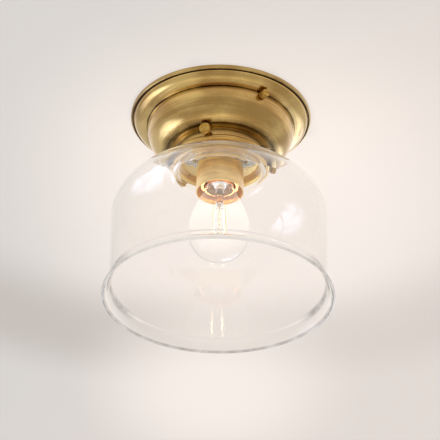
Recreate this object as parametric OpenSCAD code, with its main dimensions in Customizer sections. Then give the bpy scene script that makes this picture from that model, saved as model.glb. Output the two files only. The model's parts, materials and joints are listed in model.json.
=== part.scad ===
// Flush ceiling light with a brass canopy, one clear lamp and a clear glass shade.
// A mounting plate carries the stepped canopy, and two screws through the canopy's floor
// hold the shade holder and the strap of the lamp socket. Three thumbscrews in the holder
// carry the glass by the rim of its neck.
// The origin is the centre of the ceiling plane, +Z points up and the light hangs below it.

/* [Mounting plate] */
// Outside diameter of the plate
plate_d = 165; // [160:1:190]
// Thickness of the plate's sheet
plate_t = 1.5; // [1:0.1:2]
// Height of the turned edge
plate_edge_h = 3.3; // [2.5:0.1:5]
// Width of the turned edge
plate_edge_w = 2.4; // [1.5:0.1:3]
// Diameter of the wire opening
wire_hole_d = 32; // [20:1:40]
// Distance between the two box screws
box_screw_gap = 88.9; // [84:0.1:94]
// Width of a box screw slot
box_slot_w = 4.8; // [4.2:0.1:5.5]
// Length of a box screw slot from end to end
box_slot_len = 14; // [8:0.5:16]
// Width of the ears that take the side screws
ear_w = 14; // [10:1:18]
// Thickness of the ears
ear_t = 2; // [1.5:0.1:3]

/* [Canopy] */
// Thickness of the spun brass sheet
sheet_t = 0.9; // [0.6:0.1:1.2]
// Width of the outer moulding
rim_w = 12.7; // [10:0.1:14]
// Height of the outer moulding
rim_h = 8.5; // [7:0.1:13]
// Height of the straight edge above the moulding
rim_edge_h = 1.3; // [1:0.1:2]
// Height of the dome
dome_h = 28.2; // [23:0.1:32]
// How square the dome's shoulder is, 2 is an ellipse
dome_fullness = 2.2; // [2:0.1:2.6]
// Diameter of the opening for the socket
canopy_hole_d = 40; // [37:0.5:41]

/* [Side screws] */
// Direction of the first side screw, seen from below with 0 to the right
side_screw_angle = -57.5; // [-65:0.5:-50]
// Gap between the outer moulding and the side screws' knobs below it
side_knob_gap = 0.2; // [0.1:0.1:2]
// Diameter of the side screws' studs
side_stud_d = 4; // [3:0.1:4.4]
// Diameter of the side screws' knobs
side_knob_d = 7.2; // [6:0.1:7.2]
// Length of the side screws' knobs
side_knob_len = 7.2; // [5:0.1:9]

/* [Shade holder] */
// Gap between the rim of the shade's neck and the holder's wall
wall_gap = 1.6; // [1:0.1:3]
// Gap between the inside of the shade's neck and the pad's side
pad_gap = 2.2; // [1.6:0.1:4]
// How far the straight wall reaches past the thumbscrews' bushes
wall_past_bush = 0.1; // [0.1:0.1:2]
// How far the beaded skirt stands out from the wall
skirt_out = 0.4; // [0.2:0.1:3]
// Height of the skirt above its bead
skirt_h = 1; // [0.8:0.1:9]
// Radius of the bead round the holder's mouth
bead_r = 2; // [1.6:0.1:2.8]
// Depth of the pad in the middle, below the holder's top
pad_drop = 7.9; // [6:0.1:9]
// Gap between the socket's screw heads and the edge of the opening in the pad
pad_hole_gap = 1.7; // [1:0.1:3]

/* [Thumbscrews] */
// Direction of the first thumbscrew
thumb_angle = 14; // [5:1:25]
// Diameter of the thumbscrews' studs
thumb_stud_d = 3; // [2.8:0.1:4]
// Diameter of the knurled knobs
thumb_knob_d = 10; // [8:0.5:12]
// Thickness of the knurled knobs
thumb_knob_len = 4.4; // [3:0.1:6]
// Diameter of the threaded bushes
bush_d = 5; // [4.8:0.1:6]
// How far the bushes stand out of the wall
bush_len = 4.6; // [4:0.1:6]

/* [Glass shade] */
// Thickness of the glass
glass_t = 2.6; // [2:0.1:3.2]
// Diameter of the neck below its rim
neck_d = 80.6; // [72:0.1:90]
// How far the rim round the neck stands out
neck_rim_w = 0.7; // [0.4:0.1:1.6]
// Height of the rim's straight side
neck_rim_h = 0.1; // [0.1:0.1:2]
// Height of the neck
neck_h = 22.1; // [19:0.1:24]
// Radius of the hollow between the neck and the shoulder
neck_fillet = 5; // [4:0.5:8]
// Diameter of the body below the shoulder
body_d = 192.4; // [170:0.1:196]
// Height of the shoulder
shoulder_h = 41; // [36:1:50]
// How square the shoulder is, 2 is an ellipse
shoulder_fullness = 1.75; // [1.6:0.05:2.2]
// Diameter of the body where the flare starts
waist_d = 191; // [168:0.1:196]
// Diameter of the flared lip
lip_d = 203.2; // [200:0.1:212]
// Height of the flare
flare_h = 12; // [8:0.5:16]
// Radius of the bend where the flare starts
flare_bend = 4; // [3:0.5:8]
// Height of the whole shade
shade_h = 150.1; // [140:0.1:165]

/* [Socket] */
// Width of the strap
strap_w = 12; // [10:0.5:14]
// Thickness of the strap
strap_t = 2; // [1.5:0.1:2.5]
// How far the strap reaches past the middle of its screws
strap_end = 6.2; // [5.8:0.1:7.5]
// How far the strap's ring reaches under the pad
strap_lap = 2; // [1:0.1:2.2]
// Gap between the cup and the heads of the holder screws
holder_head_gap = 0.7; // [0.3:0.1:2]
// Diameter of the holder screws
holder_screw_d = 4.2; // [3.5:0.1:4.5]
// Diameter of the holder screws' heads
holder_head_d = 7.6; // [6.5:0.1:8]
// Length of the brass cup
cup_len = 32.5; // [31:0.1:40]
// Outside diameter of the porcelain body
porcelain_d = 33.6; // [33.2:0.1:35]
// Diameter of the porcelain's top, which passes through the strap
porcelain_top_d = 31; // [30:0.1:31.4]
// Thickness of the porcelain above the centre contact
porcelain_floor = 6; // [4:0.1:6]
// Thickness of the porcelain flange, which fills the brass cup
flange_t = 3.5; // [3:0.1:5]
// Diameter of the small screws that hold the porcelain to the strap
socket_screw_d = 2.5; // [2:0.1:2.6]
// Porcelain between these screws and its top
socket_screw_in = 1.7; // [1:0.1:3]
// Porcelain between these screws and the edge of its flange
socket_screw_edge = 0.4; // [0.4:0.1:2]

/* [Lamp] */
// Largest diameter of the bulb
bulb_d = 55; // [45:0.5:60]
// Length of the lamp from its tip to its end
bulb_len = 99; // [92:0.5:112]
// Outside diameter of the screw cap
cap_d = 26; // [25.6:0.1:26.1]
// Length from the tip to the cap's lower edge
cap_len = 26; // [25:0.1:28]
// Distance from one thread to the next
cap_pitch = 3.63; // [3.6:0.01:3.66]
// Diameter of the bulb's neck
bulb_neck_d = 26.6; // [26:0.1:30]
// Number of filament rods
filaments = 4; // [2:1:6]
// Length of a filament rod
filament_len = 26; // [18:0.5:30]

/* [Wiring] */
// Diameter of the insulated leads
lead_d = 2.2; // [1.6:0.1:2.6]
// Length of a wire connector
connector_len = 22; // [18:1:24]
// Diameter of a wire connector at its mouth
connector_d = 13.6; // [11:0.1:14]
// Direction of the ground screw
ground_angle = 33; // [28:1:38]
// Distance of the ground screw from the centre
ground_r = 47.5; // [46:0.5:50]
// Diameter of the ground screw
ground_screw_d = 4.2; // [3.5:0.1:4.5]

/* [Hidden] */

// Colours
brass = [0.62, 0.48, 0.26];
dark_brass = [0.5, 0.37, 0.18];
steel = [0.62, 0.62, 0.62];
clear = [0.9, 0.95, 0.95, 0.35];
porcelain = [0.93, 0.92, 0.88];

// Roundness of turned pieces, and steps in the large and the small curves of their outlines
ROUND = 96;
STEPS = 12;
CORNER_STEPS = 4;

// Clearances
seat_gap = 0.1;      // between stacked sheets
slip_gap = 0.3;      // round a screw in a plain hole, and between curved faces
thread_gap = 0.05;   // round a screw in its thread

// How far shapes that are joined reach into each other, and cuts reach out of a face
overlap = 0.2;
cut = 1;

// Heights, from the ceiling down
neck_rim_r = neck_d / 2 + neck_rim_w;
rim_r = plate_d / 2 - plate_edge_w - slip_gap - seat_gap;
rim_top_z = -plate_t - seat_gap;
crease_r = rim_r - rim_w;
crease_z = rim_top_z - rim_edge_h - rim_h;
base_z = crease_z - dome_h;
floor_z = base_z + sheet_t;
holder_r = neck_rim_r + wall_gap + sheet_t;
groove_z = base_z - sheet_t;
pad_z = base_z - pad_drop;
strap_z = pad_z - strap_t;
cup_z = strap_z - cup_len;

// Side screws
side_z = crease_z - side_knob_gap - side_knob_d / 2;
side_seat_r = crease_r + slip_gap;
side_slot_w = 1;
ear_inset = 4;
ear_r = crease_r - ear_inset;
side_tip_len = 3;
side_tip_r = ear_r - ear_t - side_tip_len;

// The rim of the shade's neck
neck_top_z = groove_z - slip_gap - seat_gap;
edge_r = glass_t / 2;
rim_slope = 0.6;
rim_taper_h = neck_rim_w / rim_slope;
rim_under_z = neck_top_z - edge_r - neck_rim_h - rim_taper_h;

// Shade holder
corner_r = 1;
pad_r = neck_d / 2 - glass_t - pad_gap;
groove_wall_r = holder_r - sheet_t;
groove_lean = 0.6;
groove_in_r = pad_r + groove_lean;

// Thumbscrews, below the rim of the shade's neck
thumbs = 3;
thumb_z = rim_under_z - slip_gap - thumb_stud_d / 2;
thumb_tip_r = neck_d / 2 + slip_gap;
bush_end_r = holder_r + bush_len;
bush_step = 0.5;
bush_shank_r = bush_d / 2 - bush_step;
thumb_seat_r = bush_end_r + slip_gap;
knurls = 20;
knurl_r = 0.35;
knob_chamfer = 0.5;
driver_slot_h = 1;

// The holder's skirt, below the bushes
wall_z = thumb_z - bush_d / 2 - wall_past_bush;
bead_bite = 0.5;
bead_mid = [holder_r + skirt_out - bead_r / 4, wall_z - skirt_h - bead_r + bead_bite];
skirt_r = groove_wall_r + skirt_out * 0.7;
skirt_knee_z = wall_z - skirt_h * 0.55;

// Glass shade, whose lip leans out or in with its diameter
neck_end_z = neck_top_z - neck_h;
lip_z = neck_top_z - shade_h;
joint_turn = 8;
lip_mid = [lip_d / 2 - edge_r, lip_z + edge_r];
flare_start = [waist_d / 2, lip_z + flare_h];
flare_run = lip_mid - flare_start;
flare_lean = atan2(flare_run.x, -flare_run.y) + asin(edge_r / norm(flare_run));
flare_side = flare_lean < 0 ? -1 : 1;
flare_end = lip_mid + edge_r * [cos(flare_lean), sin(flare_lean)];
bend_mid = flare_start + flare_bend * [flare_side, tan(abs(flare_lean) / 2)];
bend_from = 90 + 90 * flare_side;

// Socket
socket_rise = 3.5;
socket_recess = 6;
porcelain_r = porcelain_d / 2;
socket_top_z = pad_z + socket_rise;
socket_hole_r = porcelain_top_d / 2 + slip_gap;
socket_screw_r = porcelain_top_d / 2 + socket_screw_in + socket_screw_d / 2;
socket_head_r = 2.3;
socket_head_h = 1.6;
socket_screw_short = 0.5;
cup_top_z = strap_z;
flange_z = cup_top_z - sheet_t;
flange_r = socket_screw_r + socket_screw_d / 2 + socket_screw_edge;
cup_r = flange_r + slip_gap + sheet_t;
pad_hole_r = socket_screw_r + socket_head_r + pad_hole_gap;
holder_screw_x = cup_r + holder_head_gap + holder_head_d / 2;
cavity_z = socket_top_z - porcelain_floor;
shell_t = 0.4;
thread_h = 0.7;
thread_steps = 6;
cap_turns = 4;
shell_in_r = cap_d / 2 + slip_gap;
shell_out_r = shell_in_r + thread_h + shell_t;
cavity_r = shell_out_r + seat_gap;
socket_end_z = cup_z + socket_recess;
shell_end_z = socket_end_z + slip_gap;
shell_tab_r = 9.5;
contact_drop = 1.5;
contact_t = 0.4;
contact_w = 6;
contact_knee_x = -4;
contact_reach = 4;
rivet_r = 1.4;
rivet_head_r = 1.7;
rivet_head_h = 0.7;
contact_rivet_x = -7;
shell_rivet_x = shell_in_r - rivet_head_r;

// Nuts, washer and lugs
holder_hole_r = holder_screw_d / 2 + slip_gap;
pan_h = 2.3;
driver_slot_w = 1;
nut_w = 8;
nut_h = 3.2;
lug_t = 0.8;
lug_r = 4;
lug_barrel_len = 6;
screw_past_nut = 2;
holder_screw_end_z = floor_z + lug_t + nut_h + screw_past_nut;

// Lamp
tip_z = cavity_z - contact_drop - contact_t - slip_gap;
tip_h = 1.6;
tip_r = 4.8;
insulator_h = 3;
insulator_rim = 2.4;
insulator_r = tip_r + insulator_rim;
insulator_in_r = insulator_r - 2 * seat_gap;
cap_r = cap_d / 2;
cap_end_z = tip_z - cap_len;
cap_top_z = tip_z - tip_h - insulator_h;
cap_t = 0.3;
cap_slope_h = 1.5;
bulb_t = 0.8;
bulb_r = bulb_d / 2;
bulb_end_z = tip_z - bulb_len;
globe_z = bulb_end_z + bulb_r;
bulb_neck_h = 6;
swell_z = cap_end_z - bulb_neck_h;
neck_step_h = 1.2;
neck_in_cap_r = cap_r - thread_h - cap_t - slip_gap;
stem_r = 3.6;
stem_rise = 5;
stem_top_z = cap_end_z + stem_rise;
stem_drop = 18;
stem_end_z = cap_end_z - stem_drop;
rod_r = 0.9;
rod_top_r = 6.5;
rod_end_r = 8;
rod_drop = 2;
rod_top_z = stem_end_z - rod_drop;
rod_end_z = rod_top_z - filament_len;
hub_drop = 3;
hub_z = rod_end_z - hub_drop;
wire_r = 0.35;

// Wiring, the leads' middle points are relative to the canopy's floor
lead_r = lead_d / 2;
lead_sides = 8;
lead_steps = 4;
ferrule_h = 3;
ferrule_floor = 0.8;
ferrule_wall = 1.1;
ferrule_r = lead_r + ferrule_wall;
connector_r = connector_d / 2;
connector_z = floor_z + connector_r + slip_gap;
connector_y = 40;
connector_x = 6;
connector_bore = 12;
connector_skirt = 6;
connector_tail_r = 4;
connector_round = 1;
lead_in = 4;
black_mid = [[-8, 1, 4], [-12, 6, 10], [-18, 18, 14], [-24, 30, 12], [-20, 38, 9]];
white_mid = [[12, -1, 4], [14, -7, 10], [18, -18, 14], [24, -30, 12], [20, -38, 9]];
ground_mid = [[46, 1, 6], [50, 4, 14], [51, 7, 24], [49.5, 10, 31]];
ground_screw_at = ground_r * [cos(ground_angle), sin(ground_angle)];
ground_lug_angle = -60;
ground_flange_r = 4.2;
ground_flange_h = 0.8;
ground_hex_w = 7;
ground_head_h = 3;
barrel_r = 1.7;
barrel_in_r = 1.3;
barrel_start = 0.8;
lug_bite = 2.2;

// Vectors and outlines

function unit(v) = v / norm(v);

function heading(path, i) =
    unit(path[min(i + 1, len(path) - 1)] - path[max(i - 1, 0)]);

// The path's other face, a sheet's thickness t to its left, from its end to its start
function beside(path, t) = [
    for (i = [len(path) - 1 : -1 : 0])
        let (h = heading(path, i))
        [max(0, path[i].x - t * h.y), path[i].y + t * h.x]
];

function arc(centre, r, from, to, steps = CORNER_STEPS) = [
    for (i = [0 : steps])
        let (a = from + (to - from) * i / steps)
        centre + r * [cos(a), sin(a)]
];

function ring(centre, r) = arc(centre, r, 0, 360, STEPS);

// A quarter of a squared ellipse, from its side at a = 90 to its top at a = 0
function bulge(centre, dr, dz, fullness, from = 0, to = 90) = [
    for (i = [0 : STEPS])
        let (a = from + (to - from) * i / STEPS)
        centre + [dr * pow(sin(a), 2 / fullness), dz * pow(cos(a), 2 / fullness)]
];

// The outline of a low dome of radius r and height h on z, from its edge to its top
function arc_over(r, z, h) = bulge([0, z], r, h, 2, 90, 0);

function smooth(t) = t * t * (3 - 2 * t);

// Shapes that repeat

module spun(path) {
    rotate_extrude($fn = ROUND) polygon(path);
}

module spun_sheet(path, t) {
    spun(concat(path, beside(path, t)));
}

module disc(r, z, h) {
    translate([0, 0, z]) cylinder(r = r, h = h, $fn = ROUND);
}

// A rod along +X from x0 to x1 at height z
module radial_rod(r, x0, x1, z) {
    translate([x0, 0, z]) rotate([0, 90, 0]) cylinder(r = r, h = x1 - x0, $fn = ROUND);
}

// A rod between two points
module rod(a, b, r) {
    d = b - a;
    turn = atan2(d.y, d.x);
    tilt = acos(d.z / norm(d));
    translate(a) rotate([0, tilt, turn]) cylinder(r = r, h = norm(d), $fn = ROUND);
}

// A knurled knob along +X from x0 to x1 at height z
module knob(r, x0, x1, z) {
    h = x1 - x0;
    in_r = r - knob_chamfer;
    translate([x0, 0, z]) rotate([0, 90, 0]) difference() {
        spun([[0, 0], [in_r, 0], [r, knob_chamfer], [r, h - knob_chamfer], [in_r, h], [0, h]]);
        for (i = [0 : knurls - 1])
            rotate([0, 0, 360 * i / knurls]) translate([r + knurl_r / 3, 0, -cut])
                cylinder(r = knurl_r, h = h + 2 * cut, $fn = 16);
    }
}

module side_place(i) {
    rotate([0, 0, side_screw_angle + 180 * i]) children();
}

module thumb_place(i) {
    rotate([0, 0, thumb_angle + 360 / thumbs * i]) children();
}

// Places two copies on the line of the holder screws
module screw_pair() {
    for (side = [-1, 1]) translate([side * holder_screw_x, 0, 0]) children();
}

// A screw head that hangs from height z, with a rounded edge
module pan_head(r, z) {
    round_r = pan_h * 0.6;
    translate([0, 0, z]) mirror([0, 0, 1])
        spun(concat([[0, 0], [r, 0]],
            arc([r - round_r, pan_h - round_r], round_r, 0, 90), [[0, pan_h]]));
}

// Mounting plate

// A tab bent down from the plate, its end round about the side screw
module ear() {
    translate([ear_r - ear_t, 0, 0]) rotate([90, 0, 90]) linear_extrude(ear_t) union() {
        translate([-ear_w / 2, side_z]) square([ear_w, -plate_t - side_z + overlap]);
        translate([0, side_z]) circle(d = ear_w, $fn = ROUND);
    }
}

module box_slots() {
    reach = (box_slot_len - box_slot_w) / 2;
    h = plate_t + 2 * cut;
    for (side = [-1, 1]) translate([side * box_screw_gap / 2, 0, -plate_t - cut]) {
        for (end = [-1, 1]) translate([end * reach, 0, 0]) cylinder(d = box_slot_w, h = h, $fn = ROUND);
        translate([-reach, -box_slot_w / 2, 0]) cube([2 * reach, box_slot_w, h]);
    }
}

module mounting_plate() {
    out_r = plate_d / 2;
    in_r = out_r - plate_edge_w;
    corner = [out_r - corner_r, corner_r - plate_edge_h];
    color(brass) difference() {
        union() {
            spun(concat([[wire_hole_d / 2, 0], [wire_hole_d / 2, -plate_t], [in_r, -plate_t],
                [in_r, -plate_edge_h]], arc(corner, corner_r, -90, 0), [[out_r, 0]]));
            for (i = [0, 1]) side_place(i) ear();
        }
        box_slots();
        for (i = [0, 1]) side_place(i)
            radial_rod(side_stud_d / 2 + thread_gap, ear_r - ear_t - cut, ear_r + cut, side_z);
        translate(ground_screw_at)
            disc(ground_screw_d / 2 + thread_gap, -plate_t - cut, plate_t + 2 * cut);
    }
}

// Canopy and its side screws

// The outer face of the canopy: a quarter round moulding, a crease and a flat-ended dome
function canopy_path() = concat(
    [[rim_r, rim_top_z]],
    bulge([crease_r, rim_top_z - rim_edge_h], rim_w, -rim_h, 2, 90, joint_turn),
    bulge([holder_r, crease_z - slip_gap], crease_r - holder_r, slip_gap - dome_h,
        dome_fullness, 90, 0),
    [[canopy_hole_d / 2, base_z]]
);

module canopy() {
    color(brass) difference() {
        spun_sheet(canopy_path(), -sheet_t);
        for (i = [0, 1]) side_place(i)
            radial_rod(side_stud_d / 2 + slip_gap, ear_r, crease_r + cut, side_z);
        screw_pair() disc(holder_hole_r, base_z - cut, sheet_t + 2 * cut);
    }
}

module side_stud(i) {
    color(brass) side_place(i)
        radial_rod(side_stud_d / 2, side_tip_r, side_seat_r, side_z);
}

// A knob with a screwdriver slot in its outer face
module side_knob(i) {
    end_r = side_seat_r + side_knob_len;
    color(brass) side_place(i) difference() {
        knob(side_knob_d / 2, side_seat_r, end_r, side_z);
        translate([end_r - driver_slot_h, -side_knob_d / 2 - cut, side_z - side_slot_w / 2])
            cube([driver_slot_h + cut, side_knob_d + 2 * cut, side_slot_w]);
    }
}

// Shade holder and its thumbscrews

function holder_path() = concat(
    [[pad_hole_r, pad_z]],
    arc([pad_r - corner_r, pad_z + corner_r], corner_r, -90, 0),
    arc([groove_in_r + corner_r, groove_z - corner_r], corner_r, 180, 90),
    arc([groove_wall_r - corner_r, groove_z - corner_r], corner_r, 90, 0),
    [[groove_wall_r, wall_z], [skirt_r, skirt_knee_z], [skirt_r, wall_z - skirt_h]]
);

module shade_holder() {
    color(brass) difference() {
        union() {
            spun_sheet(holder_path(), sheet_t);
            spun(ring(bead_mid, bead_r));
        }
        for (i = [0 : thumbs - 1]) thumb_place(i)
            radial_rod(bush_shank_r, groove_wall_r - cut, holder_r + cut, thumb_z);
        screw_pair() disc(holder_hole_r, pad_z - cut, sheet_t + 2 * cut);
    }
}

module thumb_bushes() {
    color(dark_brass) for (i = [0 : thumbs - 1]) thumb_place(i) difference() {
        union() {
            radial_rod(bush_d / 2, holder_r, bush_end_r, thumb_z);
            radial_rod(bush_shank_r - thread_gap, groove_wall_r, holder_r + overlap, thumb_z);
        }
        radial_rod(thumb_stud_d / 2 + thread_gap, groove_wall_r - cut, bush_end_r + cut, thumb_z);
    }
}

module thumb_stud(i) {
    color(brass) thumb_place(i)
        radial_rod(thumb_stud_d / 2, thumb_tip_r, thumb_seat_r, thumb_z);
}

module thumb_knob(i) {
    color(brass) thumb_place(i)
        knob(thumb_knob_d / 2, thumb_seat_r, thumb_seat_r + thumb_knob_len, thumb_z);
}

// Glass shade

// The outer face of the glass, from its neck's rounded edge down to its lip's
function shade_path() = concat(
    [[neck_rim_r, neck_top_z - edge_r], [neck_rim_r, rim_under_z + rim_taper_h],
    [neck_d / 2, rim_under_z]],
    arc([neck_d / 2 + neck_fillet, neck_end_z], neck_fillet, 180, 270 - joint_turn, STEPS / 2),
    bulge([neck_d / 2 + neck_fillet, neck_end_z - neck_fillet - shoulder_h],
        (body_d - neck_d) / 2 - neck_fillet, shoulder_h, shoulder_fullness, joint_turn, 90),
    arc(bend_mid, flare_bend, bend_from, bend_from + flare_lean),
    [flare_end]
);

module glass_shade() {
    color(clear) union() {
        spun_sheet(shade_path(), -glass_t);
        spun(ring([neck_rim_r - edge_r, neck_top_z - edge_r], edge_r));
        spun(ring(lip_mid, edge_r));
    }
}

// Socket

module socket_strap() {
    end_x = holder_screw_x + strap_end - strap_w / 2;
    color(steel) difference() {
        translate([0, 0, strap_z]) linear_extrude(strap_t) union() {
            circle(r = pad_hole_r + strap_lap, $fn = ROUND);
            square([2 * end_x, strap_w], center = true);
            for (side = [-1, 1]) translate([side * end_x, 0]) circle(d = strap_w, $fn = ROUND);
        }
        disc(socket_hole_r, strap_z - cut, strap_t + 2 * cut);
        screw_pair() disc(holder_hole_r, strap_z - cut, strap_t + 2 * cut);
        socket_screw_pair()
            disc(socket_screw_d / 2 + seat_gap, strap_z - cut, strap_t + 2 * cut);
    }
}

module socket_screw_pair() {
    for (side = [-1, 1]) translate([0, side * socket_screw_r, 0]) children();
}

module holder_screws() {
    color(steel) screw_pair() difference() {
        union() {
            pan_head(holder_head_d / 2, strap_z);
            disc(holder_screw_d / 2, strap_z - overlap, holder_screw_end_z - strap_z + overlap);
        }
        translate([-holder_head_d, -driver_slot_w / 2, strap_z - pan_h - cut])
            cube([2 * holder_head_d, driver_slot_w, driver_slot_h + cut]);
    }
}

module holder_nuts() {
    color(steel) screw_pair() difference() {
        translate([0, 0, floor_z + lug_t]) cylinder(d = nut_w / cos(30), h = nut_h, $fn = 6);
        disc(holder_screw_d / 2 + thread_gap, floor_z, lug_t + nut_h + cut);
    }
}

module plain_washer() {
    color(steel) translate([-holder_screw_x, 0, 0]) difference() {
        disc(lug_r, floor_z, lug_t);
        disc(holder_screw_d / 2 + seat_gap, floor_z - cut, lug_t + 2 * cut);
    }
}

module socket_screws() {
    head_z = strap_z + strap_t;
    end_z = flange_z - flange_t + socket_screw_short;
    color(steel) socket_screw_pair() union() {
        disc(socket_head_r, head_z, socket_head_h);
        disc(socket_screw_d / 2, end_z, head_z - end_z + overlap);
    }
}

module socket_cup() {
    in_r = cup_r - sheet_t;
    color(brass) difference() {
        spun(concat([[socket_hole_r, cup_top_z]],
            arc([cup_r - corner_r, cup_top_z - corner_r], corner_r, 90, 0),
            [[cup_r, cup_z], [in_r, cup_z], [in_r, flange_z], [socket_hole_r, flange_z]]));
        socket_screw_pair()
            disc(socket_screw_d / 2 + seat_gap, flange_z - cut, sheet_t + 2 * cut);
    }
}

module socket_body() {
    color(porcelain) difference() {
        spun([[0, socket_top_z], [porcelain_top_d / 2, socket_top_z],
            [porcelain_top_d / 2, flange_z], [flange_r, flange_z],
            [flange_r, flange_z - flange_t],
            [porcelain_r, flange_z - flange_t], [porcelain_r, socket_end_z],
            [cavity_r, socket_end_z], [cavity_r, cavity_z], [0, cavity_z]]);
        for (x = [contact_rivet_x, shell_rivet_x])
            translate([x, 0, 0])
                disc(rivet_r + thread_gap, cavity_z - cut, porcelain_floor + 2 * cut);
        socket_screw_pair() disc(socket_screw_d / 2 + thread_gap, flange_z - flange_t - cut,
            flange_t + 2 * cut);
    }
}

// The outline of a rolled thread from height z down, its crests at radius r
function thread_path(r, z, turns) = [
    for (i = [0 : thread_steps * turns])
        [r - thread_h / 2 * (1 - cos(360 * i / thread_steps)), z - cap_pitch * i / thread_steps]
];

module screw_shell() {
    turns = floor((cavity_z - shell_t - thread_h - shell_end_z) / cap_pitch);
    path = concat([[shell_tab_r, cavity_z - shell_t], [shell_in_r, cavity_z - shell_t]],
        thread_path(shell_in_r + thread_h, shell_end_z + turns * cap_pitch, turns));
    color(dark_brass) difference() {
        spun_sheet(path, shell_t);
        translate([shell_rivet_x, 0, 0]) disc(rivet_r + thread_gap, cavity_z - cut, 2 * cut);
    }
}

// A springy strip that is riveted at one end and reaches down over the middle
module centre_contact() {
    top = [[contact_rivet_x - contact_w / 3, cavity_z], [contact_knee_x, cavity_z],
        [0, cavity_z - contact_drop], [contact_reach, cavity_z - contact_drop]];
    color(brass) difference() {
        rotate([90, 0, 0]) translate([0, 0, -contact_w / 2]) linear_extrude(contact_w)
            polygon(concat(top, [for (i = [len(top) - 1 : -1 : 0]) top[i] - [0, contact_t]]));
        translate([contact_rivet_x, 0, 0])
            disc(rivet_r + thread_gap, cavity_z - cut, 2 * cut);
    }
}

module contact_rivets() {
    h = contact_t + rivet_head_h;
    color(brass) for (x = [contact_rivet_x, shell_rivet_x]) translate([x, 0, 0]) union() {
        disc(rivet_r, cavity_z - contact_t - overlap, porcelain_floor + contact_t + overlap);
        disc(rivet_head_r, cavity_z - h, rivet_head_h);
    }
}

// Wiring

module lead_ferrules() {
    color(brass) for (x = [contact_rivet_x, shell_rivet_x]) translate([x, 0, 0])
        difference() {
            disc(ferrule_r, socket_top_z, ferrule_h);
            disc(lead_r + slip_gap, socket_top_z + ferrule_floor, ferrule_h);
        }
}

// A smooth curve through the points of a route
function spline(p, t) =
    let (i = min(floor(t), len(p) - 2), u = t - i,
        a = p[max(i - 1, 0)], b = p[i], c = p[i + 1], d = p[min(i + 2, len(p) - 1)])
    b + u / 2 * (c - a + u * (2 * a - 5 * b + 4 * c - d + u * (3 * (b - c) + d - a)));

function curve(route) = [
    for (i = [0 : lead_steps * (len(route) - 1)]) spline(route, i / lead_steps)
];

// A round lead along the points, its ends closed
module lead(points, r) {
    last = len(points) - 1;
    ring_points = [
        for (i = [0 : last])
            let (ahead = heading(points, i), side = unit(cross(ahead, [1, 1, 0.2])),
                up = cross(ahead, side))
            for (k = [0 : lead_sides - 1])
                let (a = 360 * k / lead_sides)
                points[i] + r * (cos(a) * side + sin(a) * up)
    ];
    walls = [
        for (i = [0 : last - 1]) for (k = [0 : lead_sides - 1])
            let (a = i * lead_sides + k, b = i * lead_sides + (k + 1) % lead_sides)
            for (face = [[a, a + lead_sides, b], [b, a + lead_sides, b + lead_sides]]) face
    ];
    caps = [
        for (k = [1 : lead_sides - 2])
            for (face = [[0, k, k + 1],
                [last * lead_sides, last * lead_sides + k + 1, last * lead_sides + k]]) face
    ];
    polyhedron(ring_points, concat(walls, caps));
}

function on_floor(route) = [for (p = route) [p.x, p.y, p.z + floor_z]];

function lamp_route(x, mid, side) = concat(
    [[x, 0, socket_top_z + ferrule_floor + slip_gap], [x, 0, socket_top_z + ferrule_h]],
    on_floor(mid),
    [[side * (connector_x + lead_in), -side * connector_y, connector_z],
    [side * (connector_x - lead_in), -side * connector_y, connector_z]]
);

module lead_black() {
    color([0.08, 0.08, 0.08])
        lead(curve(lamp_route(contact_rivet_x, black_mid, -1)), lead_r);
}

module lead_white() {
    color([0.92, 0.92, 0.9])
        lead(curve(lamp_route(shell_rivet_x, white_mid, 1)), lead_r);
}

module wire_connectors() {
    mouth_r = lead_r + slip_gap;
    color([0.85, 0.35, 0.08]) for (side = [-1, 1])
        translate([side * connector_x, -side * connector_y, connector_z])
            rotate([0, -90 * side, 0])
                spun([[mouth_r, 0], [connector_r, 0], [connector_r, connector_skirt],
                    [connector_tail_r, connector_len - connector_round],
                    [connector_tail_r - connector_round, connector_len],
                    [0, connector_len], [0, connector_bore], [mouth_r, connector_bore]]);
}

module ground_screw() {
    seat_z = -plate_t - lug_t;
    color([0.1, 0.4, 0.18]) translate(ground_screw_at) difference() {
        union() {
            disc(ground_screw_d / 2, seat_z - overlap, plate_t + lug_t);
            disc(ground_flange_r, seat_z - ground_flange_h, ground_flange_h);
            translate([0, 0, seat_z - ground_head_h])
                cylinder(d = ground_hex_w / cos(30), h = ground_head_h, $fn = 6);
        }
        translate([-ground_hex_w, -driver_slot_w / 2, seat_z - ground_head_h - cut])
            cube([2 * ground_hex_w, driver_slot_w, driver_slot_h + cut]);
    }
}

// A ring lug that lies on z = 0 with its barrel along +X
module lug(screw_r) {
    barrel_x = lug_r + barrel_start;
    difference() {
        union() {
            disc(lug_r, 0, lug_t);
            translate([0, -barrel_r * 0.8, 0]) cube([barrel_x + 1, barrel_r * 1.6, lug_t]);
            radial_rod(barrel_r, barrel_x, barrel_x + lug_barrel_len, barrel_r);
        }
        disc(screw_r + seat_gap, -cut, lug_t + 2 * cut);
        radial_rod(barrel_in_r, lug_r + lug_bite - slip_gap, barrel_x + lug_barrel_len + cut,
            barrel_r);
    }
}

module ground_lugs() {
    color(steel) {
        translate([holder_screw_x, 0, floor_z]) lug(holder_screw_d / 2);
        translate([ground_screw_at.x, ground_screw_at.y, -plate_t])
            rotate([0, 0, ground_lug_angle]) mirror([0, 0, 1]) lug(ground_screw_d / 2);
    }
}

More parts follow.
